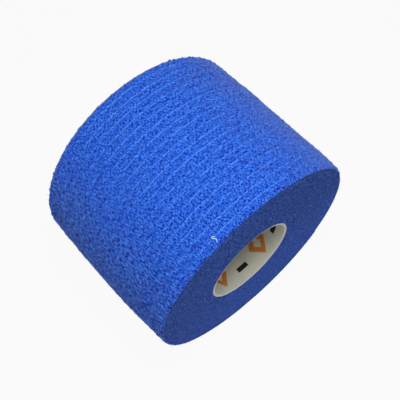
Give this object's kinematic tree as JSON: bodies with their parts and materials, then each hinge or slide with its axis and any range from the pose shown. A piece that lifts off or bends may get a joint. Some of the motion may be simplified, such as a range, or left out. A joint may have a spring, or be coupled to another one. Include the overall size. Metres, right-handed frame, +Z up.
{
  "type": "cohesive bandage roll",
  "caption": "Roll of crinkled elastic cohesive bandage wound on a thin open card core, lying on its side.",
  "frame": {"origin": "on the resting surface, below the middle of the roll's box", "axes": "+X along the winding axis towards the end that faces the viewer in the picture, +Z up"},
  "size_m": [0.05, 0.0677, 0.0638],
  "materials": {
    "crepe_cloth": "matte crinkled non-woven cloth with fine elastic yarns",
    "core_card": "matte off-white card"
  },
  "bodies": {
    "root": {"bandage_roll": "crepe_cloth", "core_tube": "core_card"}
  },
  "joints": []
}
